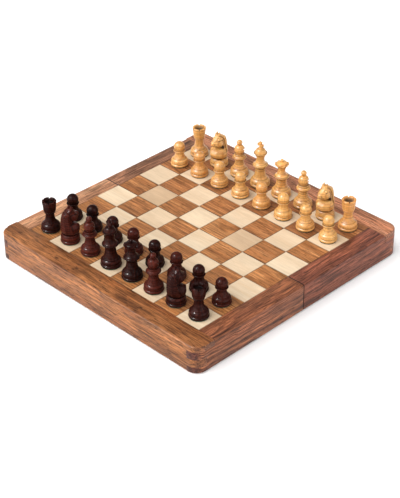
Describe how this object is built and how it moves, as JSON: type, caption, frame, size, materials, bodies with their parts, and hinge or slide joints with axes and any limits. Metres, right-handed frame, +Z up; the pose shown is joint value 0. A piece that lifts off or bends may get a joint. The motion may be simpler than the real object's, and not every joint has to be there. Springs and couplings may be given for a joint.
{
  "type": "chess box with hinged lid",
  "caption": "Folding wooden chess box lying open as a board: two hinged half boxes, checkered top, lined storage troughs, and magnetic turned men set out on it.",
  "frame": {"origin": "under the middle of the open board, at the lowest point of the hinge knuckles", "axes": "+X along the seam with the a-file at +X, +Y from the dark side to the light side, +Z up"},
  "size_m": [0.3, 0.306, 0.0872],
  "materials": {
    "end_wood": "oiled, satin, warm orange-brown, grain along the rail",
    "side_wood": "oiled, satin, red-brown, streaked grain along the rail",
    "hinge_rail_wood": "oiled, satin",
    "plywood": "sanded, bare",
    "sheet_steel": "plain",
    "light_square_wood": "satin lacquer, cream maple",
    "dark_square_wood": "satin lacquer, red-brown",
    "flocked_tray": "dark green flock on a moulded tray",
    "magnet_nickel": "satin nickel",
    "hinge_brass": "satin",
    "light_man_wood": "polished boxwood",
    "dark_man_wood": "polished rosewood, nearly black"
  },
  "bodies": {
    "front_half": {"front_end_rail": "end_wood", "front_left_rail": "side_wood", "front_right_rail": "side_wood", "front_hinge_rail": "hinge_rail_wood", "front_panel": "plywood", "front_steel_sheet": "sheet_steel", "front_light_squares": "light_square_wood", "front_dark_squares": "dark_square_wood", "front_tray": "flocked_tray", "front_rim_magnets": "magnet_nickel", "front_hinge_leaves": "hinge_brass", "front_hinge_screws": "hinge_brass", "hinge_pins": "hinge_brass"},
    "rear_half": {"rear_end_rail": "end_wood", "rear_left_rail": "side_wood", "rear_right_rail": "side_wood", "rear_hinge_rail": "hinge_rail_wood", "rear_panel": "plywood", "rear_steel_sheet": "sheet_steel", "rear_light_squares": "light_square_wood", "rear_dark_squares": "dark_square_wood", "rear_tray": "flocked_tray", "rear_rim_magnets": "magnet_nickel", "rear_hinge_leaves": "hinge_brass", "rear_hinge_screws": "hinge_brass"},
    "dark_rook_h8": {"dark_rook_h8": "dark_man_wood"},
    "dark_pawn_h7": {"dark_pawn_h7": "dark_man_wood"},
    "light_pawn_h2": {"light_pawn_h2": "light_man_wood"},
    "light_rook_h1": {"light_rook_h1": "light_man_wood"},
    "dark_knight_g8": {"dark_knight_g8": "dark_man_wood"},
    "dark_pawn_g7": {"dark_pawn_g7": "dark_man_wood"},
    "light_pawn_g2": {"light_pawn_g2": "light_man_wood"},
    "light_knight_g1": {"light_knight_g1": "light_man_wood"},
    "dark_bishop_f8": {"dark_bishop_f8": "dark_man_wood"},
    "dark_pawn_f7": {"dark_pawn_f7": "dark_man_wood"},
    "light_pawn_f2": {"light_pawn_f2": "light_man_wood"},
    "light_bishop_f1": {"light_bishop_f1": "light_man_wood"},
    "dark_king_e8": {"dark_king_e8": "dark_man_wood"},
    "dark_pawn_e7": {"dark_pawn_e7": "dark_man_wood"},
    "light_pawn_e2": {"light_pawn_e2": "light_man_wood"},
    "light_king_e1": {"light_king_e1": "light_man_wood"},
    "dark_queen_d8": {"dark_queen_d8": "dark_man_wood"},
    "dark_pawn_d7": {"dark_pawn_d7": "dark_man_wood"},
    "light_pawn_d2": {"light_pawn_d2": "light_man_wood"},
    "light_queen_d1": {"light_queen_d1": "light_man_wood"},
    "dark_bishop_c8": {"dark_bishop_c8": "dark_man_wood"},
    "dark_pawn_c7": {"dark_pawn_c7": "dark_man_wood"},
    "light_pawn_c2": {"light_pawn_c2": "light_man_wood"},
    "light_bishop_c1": {"light_bishop_c1": "light_man_wood"},
    "dark_knight_b8": {"dark_knight_b8": "dark_man_wood"},
    "dark_pawn_b7": {"dark_pawn_b7": "dark_man_wood"},
    "light_pawn_b2": {"light_pawn_b2": "light_man_wood"},
    "light_knight_b1": {"light_knight_b1": "light_man_wood"},
    "dark_rook_a8": {"dark_rook_a8": "dark_man_wood"},
    "dark_pawn_a7": {"dark_pawn_a7": "dark_man_wood"},
    "light_pawn_a2": {"light_pawn_a2": "light_man_wood"},
    "light_rook_a1": {"light_rook_a1": "light_man_wood"}
  },
  "joints": [
    {"name": "board_fold", "type": "hinge", "parent": "front_half", "child": "rear_half", "pos_m": [0, 0, 0.0015], "axis": [-1, 0, 0], "range_deg": [0, 180]},
    {"name": "lift_dark_rook_h8", "type": "slide", "parent": "front_half", "child": "dark_rook_h8", "axis": [0, 0, 1], "range_m": [0, 0.07]},
    {"name": "lift_dark_pawn_h7", "type": "slide", "parent": "front_half", "child": "dark_pawn_h7", "axis": [0, 0, 1], "range_m": [0, 0.07]},
    {"name": "lift_light_pawn_h2", "type": "slide", "parent": "rear_half", "child": "light_pawn_h2", "axis": [0, 0, 1], "range_m": [0, 0.07]},
    {"name": "lift_light_rook_h1", "type": "slide", "parent": "rear_half", "child": "light_rook_h1", "axis": [0, 0, 1], "range_m": [0, 0.07]},
    {"name": "lift_dark_knight_g8", "type": "slide", "parent": "front_half", "child": "dark_knight_g8", "axis": [0, 0, 1], "range_m": [0, 0.07]},
    {"name": "lift_dark_pawn_g7", "type": "slide", "parent": "front_half", "child": "dark_pawn_g7", "axis": [0, 0, 1], "range_m": [0, 0.07]},
    {"name": "lift_light_pawn_g2", "type": "slide", "parent": "rear_half", "child": "light_pawn_g2", "axis": [0, 0, 1], "range_m": [0, 0.07]},
    {"name": "lift_light_knight_g1", "type": "slide", "parent": "rear_half", "child": "light_knight_g1", "axis": [0, 0, 1], "range_m": [0, 0.07]},
    {"name": "lift_dark_bishop_f8", "type": "slide", "parent": "front_half", "child": "dark_bishop_f8", "axis": [0, 0, 1], "range_m": [0, 0.07]},
    {"name": "lift_dark_pawn_f7", "type": "slide", "parent": "front_half", "child": "dark_pawn_f7", "axis": [0, 0, 1], "range_m": [0, 0.07]},
    {"name": "lift_light_pawn_f2", "type": "slide", "parent": "rear_half", "child": "light_pawn_f2", "axis": [0, 0, 1], "range_m": [0, 0.07]},
    {"name": "lift_light_bishop_f1", "type": "slide", "parent": "rear_half", "child": "light_bishop_f1", "axis": [0, 0, 1], "range_m": [0, 0.07]},
    {"name": "lift_dark_king_e8", "type": "slide", "parent": "front_half", "child": "dark_king_e8", "axis": [0, 0, 1], "range_m": [0, 0.07]},
    {"name": "lift_dark_pawn_e7", "type": "slide", "parent": "front_half", "child": "dark_pawn_e7", "axis": [0, 0, 1], "range_m": [0, 0.07]},
    {"name": "lift_light_pawn_e2", "type": "slide", "parent": "rear_half", "child": "light_pawn_e2", "axis": [0, 0, 1], "range_m": [0, 0.07]},
    {"name": "lift_light_king_e1", "type": "slide", "parent": "rear_half", "child": "light_king_e1", "axis": [0, 0, 1], "range_m": [0, 0.07]},
    {"name": "lift_dark_queen_d8", "type": "slide", "parent": "front_half", "child": "dark_queen_d8", "axis": [0, 0, 1], "range_m": [0, 0.07]},
    {"name": "lift_dark_pawn_d7", "type": "slide", "parent": "front_half", "child": "dark_pawn_d7", "axis": [0, 0, 1], "range_m": [0, 0.07]},
    {"name": "lift_light_pawn_d2", "type": "slide", "parent": "rear_half", "child": "light_pawn_d2", "axis": [0, 0, 1], "range_m": [0, 0.07]},
    {"name": "lift_light_queen_d1", "type": "slide", "parent": "rear_half", "child": "light_queen_d1", "axis": [0, 0, 1], "range_m": [0, 0.07]},
    {"name": "lift_dark_bishop_c8", "type": "slide", "parent": "front_half", "child": "dark_bishop_c8", "axis": [0, 0, 1], "range_m": [0, 0.07]},
    {"name": "lift_dark_pawn_c7", "type": "slide", "parent": "front_half", "child": "dark_pawn_c7", "axis": [0, 0, 1], "range_m": [0, 0.07]},
    {"name": "lift_light_pawn_c2", "type": "slide", "parent": "rear_half", "child": "light_pawn_c2", "axis": [0, 0, 1], "range_m": [0, 0.07]},
    {"name": "lift_light_bishop_c1", "type": "slide", "parent": "rear_half", "child": "light_bishop_c1", "axis": [0, 0, 1], "range_m": [0, 0.07]},
    {"name": "lift_dark_knight_b8", "type": "slide", "parent": "front_half", "child": "dark_knight_b8", "axis": [0, 0, 1], "range_m": [0, 0.07]},
    {"name": "lift_dark_pawn_b7", "type": "slide", "parent": "front_half", "child": "dark_pawn_b7", "axis": [0, 0, 1], "range_m": [0, 0.07]},
    {"name": "lift_light_pawn_b2", "type": "slide", "parent": "rear_half", "child": "light_pawn_b2", "axis": [0, 0, 1], "range_m": [0, 0.07]},
    {"name": "lift_light_knight_b1", "type": "slide", "parent": "rear_half", "child": "light_knight_b1", "axis": [0, 0, 1], "range_m": [0, 0.07]},
    {"name": "lift_dark_rook_a8", "type": "slide", "parent": "front_half", "child": "dark_rook_a8", "axis": [0, 0, 1], "range_m": [0, 0.07]},
    {"name": "lift_dark_pawn_a7", "type": "slide", "parent": "front_half", "child": "dark_pawn_a7", "axis": [0, 0, 1], "range_m": [0, 0.07]},
    {"name": "lift_light_pawn_a2", "type": "slide", "parent": "rear_half", "child": "light_pawn_a2", "axis": [0, 0, 1], "range_m": [0, 0.07]},
    {"name": "lift_light_rook_a1", "type": "slide", "parent": "rear_half", "child": "light_rook_a1", "axis": [0, 0, 1], "range_m": [0, 0.07]}
  ]
}
